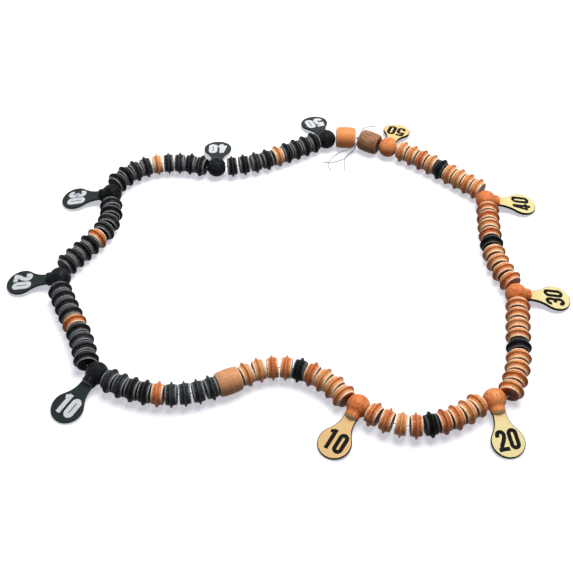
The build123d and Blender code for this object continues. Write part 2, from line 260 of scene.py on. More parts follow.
SETTINGS = {
    "scorer_beads": ScorerBeads,
    "scorer_barrels": ScorerBarrels,
    "scorer_pointers": ScorerPointers,
    "scorer_plates": ScorerPlates,
    "scorer_numbers": ScorerNumbers,
    "scorer_thread": ScorerThread,
    "scorer_colours": ScorerColours,
    "scorer_stage": ScorerStage,
}


# Places, read from the frame

def solids_of(name):
    """Each separate solid of a CAD node, as the corners of its triangles."""
    mesh = frame["nodes"][name].data
    mesh.calc_loop_triangles()
    corners = np.empty(len(mesh.vertices) * 3)
    mesh.vertices.foreach_get("co", corners)
    triangles = np.empty(len(mesh.loop_triangles) * 3, int)
    mesh.loop_triangles.foreach_get("vertices", triangles)
    places, home = np.unique(np.round(corners.reshape(-1, 3), 7), axis=0, return_inverse=True)
    triangles = home.reshape(-1)[triangles].reshape(-1, 3)
    # Each corner takes the lowest label among its neighbours, until a solid's corners share one
    label = np.arange(len(places))
    while True:
        lowest = label.copy()
        np.minimum.at(lowest, triangles, label[triangles].min(1)[:, None])
        if (lowest == label).all():
            break
        label = lowest[lowest]
    owner = label[triangles[:, 0]]
    return [places[triangles[owner == solid]] for solid in np.unique(owner)]


def bore_line(triangles):
    """The middle and the bore's direction of a turned solid."""
    crossed = np.cross(triangles[:, 1] - triangles[:, 0], triangles[:, 2] - triangles[:, 0])
    area = np.linalg.norm(crossed, axis=1)
    middle = (triangles.mean(1) * area[:, None]).sum(0) / area.sum()
    # Faces look out evenly all round a bore, so the bore is the direction whose share stands apart
    spread, directions = np.linalg.eigh((crossed / area[:, None]).T @ crossed)
    return Vector(middle), Vector(directions[:, np.argmax(abs(spread - np.median(spread)))])


def joint_of(body):
    """The joint that carries a body."""
    return next(joint for joint in frame["joints"] if joint["child"] == body)


def local_frame(y, z, middle):
    """A local frame at a place, from two of its directions."""
    placed = Matrix((y.cross(z), y, z)).transposed().to_4x4()
    placed.translation = middle
    return placed


def frame_on(middle, along):
    """A local frame on a bore: Z along it, X up and Y level."""
    z = along.normalized()
    return local_frame(z.cross(UP).normalized(), z, middle)


def bead_frames(name):
    """A frame for each bead of a stretch, in order along the thread."""
    heading = Vector(joint_of(name)["axis"])
    frames = []
    for triangles in solids_of(name):
        middle, along = bore_line(triangles)
        frames.append(frame_on(middle, along if along.dot(heading) > 0 else -along))
    return sorted(frames, key=lambda place: place.translation.dot(heading))


def spin_frame(body):
    """The frame of a piece that spins on the thread by itself, from its joint."""
    joint = joint_of(body)
    return frame_on(Vector(joint["pos_m"]), Vector(joint["axis"]))


def tag_frame(side, number):
    """A pointer's frame: X along its bore, Y out along its plate, Z out of the plate's front."""
    joint = joint_of(f"{side}_pointer_{number}")
    bore = Vector(joint["pos_m"])
    along = Vector(joint["axis"]).normalized()
    plate, _ = bore_line(np.concatenate(solids_of(f"{side}_plate_{number}")))
    y = plate - bore
    y = (y - along * y.dot(along)).normalized()
    z = along.cross(y)
    return local_frame(y, -z if z.z < 0 else z, bore)


# Meshes in a local frame

def arc(middle, radius, start, turn, steps):
    """Points on an arc, both ends with it."""
    angles = [start + turn * step / steps for step in range(steps + 1)]
    return [(middle[0] + radius * cos(angle), middle[1] + radius * sin(angle)) for angle in angles]


def rounded(before, corner, after, radius, steps=3):
    """A corner between two straight runs, rounded."""
    a, b, c = Vector(before), Vector(corner), Vector(after)
    first, second = (a - b).normalized(), (c - b).normalized()
    half = first.angle(second) / 2
    middle = b + (first + second).normalized() * (radius / sin(half))
    start, end = b + first * (radius / tan(half)), b + second * (radius / tan(half))
    points = []
    for step in range(steps + 1):
        towards = start.lerp(end, step / steps) - middle
        points.append(tuple(middle + towards.normalized() * radius))
    return points


def whole_section(half, beads, outside):
    """A section from the bore's middle out round one half, and back round the other half."""
    bore = beads.bore / 2
    # The bore and its mouth are marked -1: painted shade
    side = [(0, bore, -1), (half - beads.mouth, bore, -1), (half, bore + beads.mouth, -1), *outside]
    return np.array(side + [(-along, radius, wear_and_painted_light) for along, radius, wear_and_painted_light in reversed(side[1:-1])])


def bead_section(beads):
    """A bead's section from bore to ridge and back: (along, radius) and a mark at each point.

    The mark goes from 1, where the finish is scuffed off and a painted highlight lies, to -1, painted shade on the
    end faces and in the hollows.
    """
    half, face, ridge = beads.length / 2, beads.face / 2, beads.diameter / 2
    shoulder = Vector((half - beads.shoulder_width, beads.shoulder / 2))
    nose = Vector((beads.nose, ridge - beads.nose))
    flare = nose - shoulder
    sag = Vector((-flare.y, flare.x)).normalized() * beads.hollow
    # Painted shade over the end face, where the beads meet
    side = [(half, face * 0.55, -1), (half, face - 3 * beads.edge, -0.5)]
    side.append((half, face - 1.5 * beads.edge, 0.7))
    # Along the rim, scuffed wood and a painted highlight
    rim = rounded((half, 0), (half, face), shoulder, beads.edge)
    side += [(*point, 1) for point in rim]
    # The painted highlight fades across the shoulder, and painted shade lies at its foot
    for part, wear_and_painted_light in ((0.15, 0.8), (0.35, 0.2), (1, -0.3)):
        side.append((*Vector(rim[-1]).lerp(shoulder, part), wear_and_painted_light))
    # Painted shade in the hollow, fading towards the ridge
    for part in (0.25, 0.5, 0.75):
        point = shoulder + flare * part + sag * (4 * part * (1 - part))
        side.append((*point, 0.4 * part - 0.4))
    side += [(*point, 0.1) for point in arc((0, nose.y), beads.nose, 0, pi / 2, 4)]
    return whole_section(half, beads, side)


def barrel_section(barrels, beads):
    """A barrel's section, the same way round as a bead's."""
    half, ridge = barrels.length / 2, barrels.diameter / 2
    face = ridge - barrels.crown
    sphere = (half ** 2 + barrels.crown ** 2) / (2 * barrels.crown)
    # Painted shade on the end face, then scuffed wood and a thin painted highlight round the rim
    side = [(half, face * 0.5, -1), (half, face - 1.6 * barrels.edge, -0.6)]
    rim = rounded((half, 0), (half, face), (0, ridge), barrels.edge, 6)
    side += [(*point, wear_and_painted_light) for point, wear_and_painted_light in zip(rim, (-0.2, 0.1, 0.7, 0.9, 0.3, 0, 0))]
    for part in (0.75, 0.5, 0.25, 0):
        along = half * part
        side.append((along, ridge - sphere + sqrt(sphere ** 2 - along ** 2), 0))
    return whole_section(half, beads, side)


def turned(section, turns):
    """A closed section turned round Z: corner places, faces, and each point's mark for scuffing and painted light.
    """
    angles = np.arange(turns) * 2 * pi / turns
    along, radius, wear_and_painted_light = section.T
    points = len(section)
    places = np.stack([
        np.outer(np.cos(angles), radius), np.outer(np.sin(angles), radius), np.tile(along, (turns, 1))
    ], axis=2).reshape(-1, 3)
    step = np.arange(turns)[:, None] * points
    further = (np.arange(turns)[:, None] + 1) % turns * points
    here = np.arange(points)[None]
    after = (here + 1) % points
    faces = np.stack([step + here, step + after, further + after, further + here], axis=2).reshape(-1, 4)
    return places, faces.tolist(), np.tile(wear_and_painted_light, turns)


def bead_blank(beads, rng):
    """A bead with a little run-out of its own."""
    places, faces, wear_and_painted_light = turned(bead_section(beads), beads.turns)
    angle = np.arctan2(places[:, 1], places[:, 0])
    out = np.hypot(places[:, 0], places[:, 1]) / (beads.diameter / 2)
    drift = sum(
        rng.uniform(0.3, 1) / lobes * (1 + np.cos(lobes * angle + rng.uniform(0, 2 * pi)))
        for lobes in (2, 3, 5, 9)
    )
    most = beads.wobble / (beads.diameter / 2)
    places[:, :2] *= 1 - (drift / drift.max() * most * out ** 4)[:, None]
    return places, faces, wear_and_painted_light


def working(places, faces):
    """A working object that holds a mesh for the boolean cuts."""
    mesh = bpy.data.meshes.new("working")
    mesh.from_pydata([tuple(place) for place in places], [], faces)
    mesh.validate()
    obj = bpy.data.objects.new("working", mesh)
    bpy.context.scene.collection.objects.link(obj)
    return obj


def worked(start, *steps):
    """A blank cut or joined with others. Each step is an operation and another blank."""
    obj = working(*start[:2])
    spent = [obj]
    for operation, other in steps:
        tool = working(*other[:2])
        change = obj.modifiers.new(operation, "BOOLEAN")
        change.operation, change.object, change.solver = operation, tool, "EXACT"
        spent.append(tool)
    bpy.context.view_layer.update()
    made = bpy.data.meshes.new_from_object(obj.evaluated_get(bpy.context.evaluated_depsgraph_get()))
    places = np.empty(len(made.vertices) * 3)
    made.vertices.foreach_get("co", places)
    faces = [list(face.vertices) for face in made.polygons]
    meshes = [made] + [tool.data for tool in spent]
    for tool in spent:
        bpy.data.objects.remove(tool)
    for mesh in meshes:
        bpy.data.meshes.remove(mesh)
    return places.reshape(-1, 3), faces, np.zeros(len(places) // 3)


def block(low, high):
    """A rectangular cutter between two corners."""
    (x0, y0, z0), (x1, y1, z1) = low, high
    places = [(x, y, z) for z in (z0, z1) for x, y in ((x0, y0), (x1, y0), (x1, y1), (x0, y1))]
    sides = [[i, (i + 1) % 4, (i + 1) % 4 + 4, i + 4] for i in range(4)]
    return places, [[3, 2, 1, 0], [4, 5, 6, 7]] + sides


def capped(outline, heights, insets=None, normals=None):
    """A flat outline raised through several heights, each drawn in by its inset, and capped."""
    outline = np.array(outline)
    insets = insets or [0] * len(heights)
    normals = np.zeros_like(outline) if normals is None else normals
    rings = [
        np.column_stack([outline - normals * inset, np.full(len(outline), height)])
        for height, inset in zip(heights, insets)
    ]
    number = len(outline)
    faces = [
        [ring * number + i, ring * number + (i + 1) % number,
         (ring + 1) * number + (i + 1) % number, (ring + 1) * number + i]
        for ring in range(len(rings) - 1) for i in range(number)
    ]
    faces.append(list(range(number))[::-1])
    faces.append([(len(rings) - 1) * number + i for i in range(number)])
    return np.concatenate(rings), faces


def band(here, there, size):
    """The faces between two copies of an open line."""
    return [[here + i, there + i, there + i + 1, here + i + 1] for i in range(size - 1)]


def pointer_body(pointers):
    """A pointer's ball and stem, turned round the stem's line."""
    ball_steps, bend_steps = 26, 6
    ball, stem = pointers.ball / 2, pointers.stem / 2
    root_x = stem + pointers.root
    root_y = sqrt((ball + pointers.root) ** 2 - root_x ** 2)
    rise = atan2(root_y, root_x)
    section = arc((0, 0), ball, -pi / 2, pi / 2 + rise, ball_steps)[1:]
    section += arc((root_x, root_y), pointers.root, pi + rise, -rise, bend_steps)[1:]
    end_height = pointers.reach - pointers.end
    section += arc((stem - pointers.end, end_height), pointers.end, 0, pi / 2, bend_steps)
    number, turns = len(section), pointers.turns
    places = [
        (x * cos(2 * pi * turn / turns), y, -x * sin(2 * pi * turn / turns))
        for turn in range(turns) for x, y in section
    ] + [(0, -ball, 0), (0, pointers.reach, 0)]
    foot, top = number * turns, number * turns + 1
    faces = []
    for turn in range(turns):
        here, there = turn * number, (turn + 1) % turns * number
        faces += band(here, there, number)
        faces += [[foot, there, here], [top, here + number - 1, there + number - 1]]
    return places, faces


def thread_drill(half, wide, beads):
    """A drill that goes across a pointer and countersinks its bore at both flats."""
    steps, bore, mouth = 40, beads.bore / 2, beads.mouth
    flared = bore + wide - half + mouth
    section = [(-wide, flared), (mouth - half, bore), (half - mouth, bore), (wide, flared)]
    places = [
        (x, r * cos(2 * pi * step / steps), r * sin(2 * pi * step / steps))
        for step in range(steps) for x, r in section
    ]
    size = len(section)
    faces = []
    for step in range(steps):
        faces += band(step * size, (step + 1) % steps * size, size)
    faces.append([step * size for step in reversed(range(steps))])
    faces.append([step * size + size - 1 for step in range(steps)])
    return places, faces


def pointer_blank(pointers, beads):
    """A pointer's body faced, drilled across and slotted, with its stem's end rubbed."""
    half = sqrt((pointers.ball / 2) ** 2 - (pointers.flat / 2) ** 2)
    wide, slot_foot = pointers.ball, pointers.reach - pointers.slot
    faced = block((-half, -wide, -wide), (half, wide, wide))
    gap = bpy.context.scene.scorer_plates.thickness / 2 + pointers.fit
    slot = block((-wide, slot_foot, -gap), (wide, slot_foot + wide, gap))
    places, faces, wear_and_painted_light = worked(
        pointer_body(pointers), ("INTERSECT", faced), ("DIFFERENCE", thread_drill(half, wide, beads)),
        ("DIFFERENCE", slot)
    )
    wear_and_painted_light[places[:, 1] > pointers.reach - 0.4 * pointers.end] = 0.7
    return places, faces, wear_and_painted_light


def plate_outline(plates, pointers):
    """The drop shape's points and outward directions, counter-clockwise from the tongue's foot."""
    neck, round_end = plates.neck / 2, plates.width / 2
    middle = plates.reach - round_end
    foot, flare_start = pointers.reach - pointers.slot, pointers.reach + plates.straight
    drop = middle - flare_start
    flare = (drop ** 2 / (round_end - neck) - round_end - neck) / 2
    turn = atan2(drop, neck + flare)
    right = [((neck, foot), (1, 0)), ((neck, flare_start), (1, 0))]
    flare_steps, end_steps = 14, 36
    for step in range(1, flare_steps + 1):
        angle = turn * step / flare_steps
        x, y = cos(angle), sin(angle)
        right.append(((neck + flare - flare * x, flare_start + flare * y), (x, -y)))
    for step in range(1, end_steps + 1):
        angle = -turn + (pi / 2 + turn) * step / end_steps
        x, y = cos(angle), sin(angle)
        right.append(((round_end * x, middle + round_end * y), (x, y)))
    left = [((-x, y), (-out_x, out_y)) for (x, y), (out_x, out_y) in reversed(right[:-1])]
    points, outward = zip(*(right + left))
    return np.array(points), np.array(outward)


def plate_blank(plates, pointers):
    """A plate with its edges bevelled, and how much of its core shows at each corner."""
    points, outward = plate_outline(plates, pointers)
    half, bevel = plates.thickness / 2, plates.bevel
    core = [1, 1, 1, 1, 0.5, 0]
    bevel_steps = len(core) - 2
    angles = [pi / 2 * step / bevel_steps for step in range(bevel_steps + 1)]
    heights = [half - bevel + bevel * sin(angle) for angle in angles] + [half]
    insets = [bevel * (1 - cos(angle)) for angle in angles] + [bevel * 1.5]
    levels = [-height for height in reversed(heights)] + heights
    places, faces = capped(points, levels, list(reversed(insets)) + insets, outward)
    return places, faces, np.repeat(list(reversed(core)) + core, len(points))


# Figures, each made of strokes

def ribbon(line, width):
    """The outline of a stroke of even width along a line, with square ends."""
    line = [Vector(point) for point in line]
    left, right = [], []
    for i, point in enumerate(line):
        before = (point - line[i - 1]).normalized() if i else None
        after = (line[i + 1] - point).normalized() if i + 1 < len(line) else None
        if before is None or after is None:
            along, reach = before or after, 1
        else:
            along = (before + after).normalized()
            reach = 1 / max(before.dot(along), 0.5)
        side = Vector((-along.y, along.x)) * (width / 2 * reach)
        left.append(tuple(point + side))
        right.append(tuple(point - side))
    return right + left[::-1]


def figure_strokes(figure, wide, high, stroke):
    """A figure's strokes as outlines, and the holes cut through them, about the figure's middle."""
    a, b = (wide - stroke) / 2, (high - stroke) / 2
    top, steps = b - a, 12
    right, upper = wide / 2, high / 2
    if figure == 0:
        ring = arc((0, top), right, 0, pi, steps * 2) + arc((0, -top), right, pi, pi, steps * 2)
        inner = right - stroke
        hole = arc((0, top), inner, 0, pi, steps) + arc((0, -top), inner, pi, pi, steps)
        return [ring], [hole]
    if figure == 1:
        aside = 0.9 * MM
        stem = ribbon([(aside, -upper), (aside, upper)], stroke)
        flag = [(aside, upper - 0.45 * stroke), (-a - aside / 3, upper - 0.95 * stroke)]
        return [stem, ribbon(flag, 0.85 * stroke)], []
    if figure == 2:
        curve = [(-a, top - 0.5 * stroke)] + arc((0, top), a, pi, -pi, steps)
        curve += [(a, top - 0.25 * stroke), (0.86 * a, top - 0.75 * stroke), (0.45 * a, top - 1.5 * stroke),
                  (-0.45 * a, -b + 0.95 * stroke), (-0.7 * a, -b + 0.2 * stroke), (-0.72 * a, -b)]
        foot = ribbon([(-right, -b), (right, -b)], stroke)
        return [ribbon(curve, stroke), foot], []
    if figure == 3:
        low = 0.12 * stroke
        upper_bowl = [(-a, top - 0.3 * stroke)] + arc((0, top), a, pi, -pi, steps)
        upper_bowl += arc((a - 0.9 * a, a + low - 0.25 * stroke), 0.9 * a, 0, -pi / 2, steps // 2)
        upper_bowl += [(-0.5 * a, low - 0.1 * stroke)]
        lower_bowl = [(x, -y) for x, y in upper_bowl]
        return [ribbon(upper_bowl, stroke), ribbon(lower_bowl, stroke)], []
    if figure == 4:
        stem = ribbon([(0.45 * a, -upper), (0.45 * a, upper)], stroke)
        bar_height = -0.62 * b
        slope = [(0.1 * a, upper - 0.1 * stroke), (-right + 0.42 * stroke, bar_height + 0.2 * stroke)]
        bar = [(-right, bar_height), (right + 0.05 * stroke, bar_height)]
        return [stem, ribbon(slope, 0.82 * stroke), ribbon(bar, 0.85 * stroke)], []
    cap = ribbon([(-a - 0.2 * stroke, b), (right - 0.15 * stroke, b)], stroke)
    back = ribbon([(-a + 0.05 * stroke, b), (-a - 0.05 * stroke, 0.05 * b)], 0.9 * stroke)
    bowl = [(-a, 0.16 * b), (-0.35 * a, 0.36 * b)]
    bowl += arc((0, 0.38 * b - a), a, 0.45 * pi, -0.45 * pi, steps // 2)
    bowl += arc((0, -top), a, 0, -pi, steps) + [(-a, -top + 0.45 * stroke)]
    return [cap, back, ribbon(bowl, stroke)], []


def figure_blank(figure, numbers, stroke, plates):
    """A figure as painted: its strokes joined into one thin solid."""
    heights = [plates.thickness / 2 - numbers.sunk, plates.thickness / 2 + numbers.proud]
    outlines, holes = figure_strokes(figure, numbers.width, numbers.height, stroke)
    solids = [capped(outline, heights) for outline in outlines]
    through = [heights[0] - numbers.sunk, heights[1] + numbers.sunk]
    steps = [("UNION", solid) for solid in solids[1:]]
    steps += [("DIFFERENCE", capped(hole, through)) for hole in holes]
    return worked(solids[0], *steps)


# Laying out

def lay_out(name, blanks, material, grain, tints):
    """One object that holds blanks at their frames. Each corner keeps its place in the wood."""
    places, faces, wear_and_painted_light, wood, tint = [], [], [], [], []
    start = 0
    for (blank, place), (turn, shift), deep in zip(blanks, grain, tints):
        corners = np.array(blank[0])
        turned_by = np.array(place)
        places.append(corners @ turned_by[:3, :3].T + turned_by[:3, 3])
        faces += [[start + corner for corner in face] for face in blank[1]]
        start += len(corners)
        wear_and_painted_light.append(blank[2])
        wood.append(corners @ turn.T + shift)
        tint.append(np.full(len(corners), deep))
    mesh = bpy.data.meshes.new(name)
    mesh.from_pydata([tuple(place) for place in np.concatenate(places)], [], faces)
    mesh.shade_smooth()
    mesh.set_sharp_from_angle(angle=SMOOTH_UP_TO)
    for title, kind, key, values in (
        ("grain", "FLOAT_VECTOR", "vector", np.concatenate(wood)),
        # Positive: scuffed edges and painted highlights; negative: painted shade
        ("wear_and_painted_light", "FLOAT", "value", np.concatenate(wear_and_painted_light)),
        ("tint", "FLOAT", "value", np.concatenate(tint)),
    ):
        kept = mesh.attributes.new(title, kind, "POINT")
        kept.data.foreach_set(key, values.astype(np.float32).ravel())
    mesh.materials.append(material)
    obj = bpy.data.objects.new(name, mesh)
    bpy.context.scene.collection.objects.link(obj)
    return obj


def from_billet(rng, stood):
    """How a piece lay in the timber: a turn about its fibres, and its distance from the pith."""
    angle = rng.uniform(0, 2 * pi)
    lean = rng.uniform(-0.12, 0.12)
    turn = np.array(Matrix.Rotation(lean, 3, "X") @ Matrix.Rotation(angle, 3, "Z") @ stood)
    from_pith, aside, up = rng.uniform(0.02, 0.06), rng.uniform(-0.03, 0.03), rng.uniform(-0.5, 0.5)
    return turn, np.array([from_pith, aside, up])


def from_billets(blanks, rng, stood=Matrix.Identity(3), palest=0.2):
    """How each blank lay in the timber, and how deep its colour is."""
    grain = [from_billet(rng, stood) for _ in blanks]
    return grain, [rng.uniform(palest, 0.8) for _ in blanks]


def put_in_place(name, blanks, finish, body, nodes, grain, tints, slot=None):
    """Lay out blanks as one object that rides on a body and stands for the frame's nodes."""
    obj = lay_out(name, blanks, finish_named(finish), grain, tints)
    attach(obj, body)
    if nodes:
        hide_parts(*nodes)


def turn_out(name, blanks, rng, finish, slot=None, **lay):
    """Put turned blanks in place of the frame's node of that name."""
    put_in_place(f"turned_{name}", blanks, finish, name, [name], *from_billets(blanks, rng, **lay), slot)


# Finishes

def feed(tree, node, **inputs):
    """Set or link a node's inputs, by name or _number. Keys in lower case are its own settings."""
    for key, value in inputs.items():
        if key[0].islower():
            setattr(node, key, value)
            continue
        socket = node.inputs[int(key[1:]) if key[0] == "_" else key.replace("_", " ")]
        if isinstance(value, bpy.types.NodeSocket):
            tree.links.new(value, socket)
        else:
            socket.default_value = value
    return node


def add_node(tree, kind, **inputs):
    """A new shader node, fed."""
    return feed(tree, tree.nodes.new(kind), **inputs)


def blend_colours(tree, factor, first, second, kind="MIX"):
    """Two colours mixed by a factor."""
    first, second = [
        value if isinstance(value, bpy.types.NodeSocket) else (*value[:3], 1) for value in (first, second)
    ]
    return add_node(
        tree, "ShaderNodeMix", data_type="RGBA", blend_type=kind, _0=factor, _6=first, _7=second
    ).outputs[2]


def sums(tree, operation, first, second=0.0, third=0.0, clamp=False):
    """A calculation on numbers."""
    return add_node(
        tree, "ShaderNodeMath", operation=operation, use_clamp=clamp, _0=first, _1=second, _2=third
    ).outputs[0]


def ramp(tree, factor, *stops):
    """A ramp of grey levels or colours."""
    node = tree.nodes.new("ShaderNodeValToRGB")
    levels = node.color_ramp
    while len(levels.elements) < len(stops):
        levels.elements.new(0.5)
    for element, (position, value) in zip(levels.elements, stops):
        element.position = position
        element.color = (*value[:3], 1) if hasattr(value, "__len__") else (value, value, value, 1)
    tree.links.new(factor, node.inputs[0])
    return node.outputs[0]


def fade(tree, distance, reach, near, far):
    """A value that changes with distance: near and far are each a distance within reach and a value."""
    stops = [(metres / reach, value) for metres, value in (near, far)]
    return ramp(tree, sums(tree, "MULTIPLY", distance, 1 / reach), *stops)


def noise(tree, place, pattern):
    """One of the patterns, over places in a piece."""
    scale, detail, rough, stretch = PATTERNS[pattern]
    stretched = add_node(tree, "ShaderNodeVectorMath", operation="MULTIPLY", _0=place, _1=stretch)
    return add_node(
        tree, "ShaderNodeTexNoise", Vector=stretched.outputs[0], Scale=scale, Detail=detail, Roughness=rough
    ).outputs[0]


def named(tree, title, output="Fac"):
    """A value that the mesh keeps at each corner."""
    return add_node(tree, "ShaderNodeAttribute", attribute_name=title).outputs[output]


def shaded(tone, part):
    """A colour made darker or lighter."""
    return [channel * part for channel in tone]


def off_middle(tree, factor, much):
    """How far a factor lies from its middle, times an amount."""
    return sums(tree, "MULTIPLY", sums(tree, "SUBTRACT", factor, 0.5), much)


def bumped(tree, height, strength, depth):
    """A surface's slant, from how high it stands."""
    return add_node(
        tree, "ShaderNodeBump", Strength=strength, Distance=depth, Height=height
    ).outputs[0]


def new_finish(name):
    """An empty material and its shader."""
    material = bpy.data.materials.new(f"{name}_finish")
    material.use_nodes = True
    tree = material.node_tree
    return material, tree, tree.nodes["Principled BSDF"]


def wood_finish(name, palest, common, deepest, bare_and_highlight, wear_and_highlight, dullness, shine, worn_shine, streak):
    """Turned wood: growth rings, fibres, tool rings, scuffed edges with a painted highlight, painted shade, and a
    thin finish over them.
    """
    material, tree, shader = new_finish(name)
    place, wear_and_painted_light, tint = named(tree, "grain", "Vector"), named(tree, "wear_and_painted_light"), named(tree, "tint")
    # The timber's rings, fibres and pores
    split = add_node(tree, "ShaderNodeSeparateXYZ", Vector=place)
    squares = [sums(tree, "MULTIPLY", side, side) for side in split.outputs[:2]]
    from_pith = sums(tree, "SQRT", sums(tree, "ADD", *squares))
    sway = sums(tree, "MULTIPLY", noise(tree, place, "sway"), 1.4)
    swayed = sums(tree, "ADD", sums(tree, "MULTIPLY", from_pith, RINGS_TO_THE_METRE), sway)
    rings = ramp(tree, sums(tree, "FRACT", swayed), (0, 0.0), (0.55, 0.25), (0.88, 1.0), (1.0, 0.0))
    fibre = noise(tree, place, "fibre")
    pores = ramp(tree, noise(tree, place, "pores"), (0.60, 0.0), (0.72, 1.0))
    # The varnish or stain, deeper in patches, in the rings and in the pores
    tone = sums(tree, "ADD", tint, off_middle(tree, noise(tree, place, "patches"), 0.9))
    tone = sums(tree, "ADD", tone, off_middle(tree, fibre, streak))
    body = ramp(tree, tone, (0.1, palest), (0.5, common), (0.9, deepest))
    body = blend_colours(tree, sums(tree, "MULTIPLY", rings, 0.5), body, deepest)
    body = blend_colours(tree, sums(tree, "MULTIPLY", pores, 0.45), body, shaded(deepest, 0.35))
    # Painted shade on the end faces and in the hollows, and scuffed wood with a painted highlight along the edges
    painted_shade = sums(tree, "MULTIPLY", wear_and_painted_light, -0.8, clamp=True)
    body = blend_colours(tree, painted_shade, body, shaded(deepest, 0.1))
    rub = ramp(tree, noise(tree, place, "rubbing"), (0.3, 0.5), (0.55, 1.0))
    rubbed_and_highlit = sums(tree, "MULTIPLY", wear_and_painted_light, rub, clamp=True)
    body = blend_colours(tree, sums(tree, "MULTIPLY", rubbed_and_highlit, wear_and_highlight, clamp=True), body, bare_and_highlight)
    # How dull, uneven and shiny the surface is
    dull = sums(tree, "MULTIPLY_ADD", fibre, 0.22, dullness - 0.08)
    dull = sums(tree, "MULTIPLY_ADD", rubbed_and_highlit, 0.18, dull, clamp=True)
    relief = sums(tree, "ADD", sums(tree, "MULTIPLY", fibre, 0.6), sums(tree, "MULTIPLY", pores, -0.7))
    marks = sums(tree, "MULTIPLY", noise(tree, place, "tool_marks"), 0.8)
    relief = bumped(tree, sums(tree, "ADD", relief, marks), 0.4, 0.12 * MM)
    shine = sums(tree, "MULTIPLY_ADD", rubbed_and_highlit, worn_shine - shine, shine)
    feed(tree, shader, Base_Color=body, Roughness=dull, Specular_IOR_Level=shine, Normal=relief)
    return material


def laminate_finish(name, face, aged, core, speck, dullness, shine):
    """Engraving sheet: a thin face, yellowed towards its neck, over a core that shows at the edges."""
    material, tree, shader = new_finish(name)
    place, wear_and_painted_light = named(tree, "grain", "Vector"), named(tree, "wear_and_painted_light")
    cloud, grit = noise(tree, place, "clouds"), noise(tree, place, "grit")
    tone = sums(tree, "ADD", sums(tree, "MULTIPLY", cloud, 0.6), sums(tree, "MULTIPLY", grit, 0.4))
    outward = add_node(tree, "ShaderNodeSeparateXYZ", Vector=place).outputs[1]
    age = fade(tree, outward, 50 * MM, (13 * MM, 0.7), (25 * MM, 0.0))
    age = sums(tree, "MAXIMUM", age, named(tree, "tint"))
    body = blend_colours(tree, age, face, aged)
    body = blend_colours(tree, ramp(tree, tone, (0.36, 0.0), (0.66, 1.0)), body, speck, "MULTIPLY")
    bared = ramp(tree, wear_and_painted_light, (0.3, 0.0), (0.6, 1.0))
    body = blend_colours(tree, bared, body, core)
    dull = sums(tree, "MULTIPLY_ADD", grit, 0.2, dullness - 0.1)
    core_shine = 0.04
    shine = sums(tree, "MULTIPLY_ADD", bared, core_shine - shine, shine)
    relief = bumped(tree, grit, 0.15, 0.05 * MM)
    feed(tree, shader, Base_Color=body, Roughness=dull, Specular_IOR_Level=shine, Normal=relief)
    return material


def paint_finish(name, paint, faded):
    """Paint in the figures, a little uneven."""
    material, tree, shader = new_finish(name)
    patch = noise(tree, named(tree, "grain", "Vector"), "paint")
    body = blend_colours(tree, ramp(tree, patch, (0.4, 0.0), (0.75, 1.0)), paint, faded)
    dull = sums(tree, "MULTIPLY_ADD", patch, 0.25, 0.5)
    feed(tree, shader, Base_Color=body, Roughness=dull, Specular_IOR_Level=0.06)
    return material


def nylon_finish(name, tone):
    """Clear nylon thread, faintly cloudy along its length."""
    material, tree, shader = new_finish(name)
    cloud = noise(tree, add_node(tree, "ShaderNodeTexCoord").outputs["Object"], "nylon")
    body = blend_colours(tree, cloud, tone, shaded(tone, 1.35))
    dull = sums(tree, "MULTIPLY_ADD", cloud, 0.2, 0.15)
    feed(tree, shader, Base_Color=body, Roughness=dull, Transmission_Weight=0.15, IOR=1.53)
    return material


def finish_named(name):
    """A finish by its name, made when it is first asked for."""
    found = bpy.data.materials.get(f"{name}_finish")
    if found:
        return found
    tones = bpy.context.scene.scorer_colours
    tan, orange, bare_and_highlight, grey = tones.tan, tones.orange, tones.bare_and_highlight, tones.grey
    black, deep, peach, brown = tones.black, shaded(tones.black, 0.2), tones.peach, tones.brown
    # Palest, common, deepest and scuffed-edge colours (the last also a painted highlight), then how much edge
    # colour, dullness, shine, shine on scuffed edges and streaking
    woods = {
        "pale_wood": (tan, orange, tones.russet, bare_and_highlight, 1.0, 0.42, 0.2, 0.5, 1.7),
        # The dark wood's pale streaks are partly its grain and partly painted glints
        "dark_wood": (shaded(black, 4), black, deep, grey, 0.8, 0.36, 0.04, 0.3, 1.7),
        "black_marker": (black, deep, deep, grey, 0.3, 0.36, 0.03, 0.1, 1.7),
        "orange_barrel": (tan, orange, orange, bare_and_highlight, 0.8, 0.4, 0.2, 0.3, 0.9),
        "tan_barrel": (shaded(peach, 1.15), peach, shaded(peach, 0.65), bare_and_highlight, 0.7, 0.4, 0.2, 0.3, 0.8),
        "brown_wood": (shaded(brown, 1.6), brown, tones.moss, tan, 0.25, 0.5, 0.15, 0.3, 1.7),
    }
    if name in woods:
        return wood_finish(name, *woods[name])
    if name == "cream_plate":
        return laminate_finish(name, tones.cream, tones.amber, tones.core, (0.96, 0.91, 0.8), 0.4, 0.2)
    if name == "black_plate":
        # Its edges a little lighter: partly the plate's core, partly a painted highlight along the bevels
        edge = shaded(tones.slate, 1.8)
        return laminate_finish(name, tones.slate, tones.slate, edge, (0.8, 0.8, 0.8), 0.4, 0.12)
    if name == "black_paint":
        return paint_finish(name, tones.core, shaded(tones.core, 2))
    if name == "white_paint":
        return paint_finish(name, tones.white, shaded(tones.white, 0.8))
    return nylon_finish(name, tones.nylon)


def looked_at(tree):
    """Whether a ray shows the stage to the camera, straight or by way of gloss or glass."""
    path = add_node(tree, "ShaderNodeLightPath")
    seen = sums(tree, "MAXIMUM", path.outputs["Is Camera Ray"], path.outputs["Is Glossy Ray"])
    return sums(tree, "MAXIMUM", seen, path.outputs["Is Transmission Ray"])


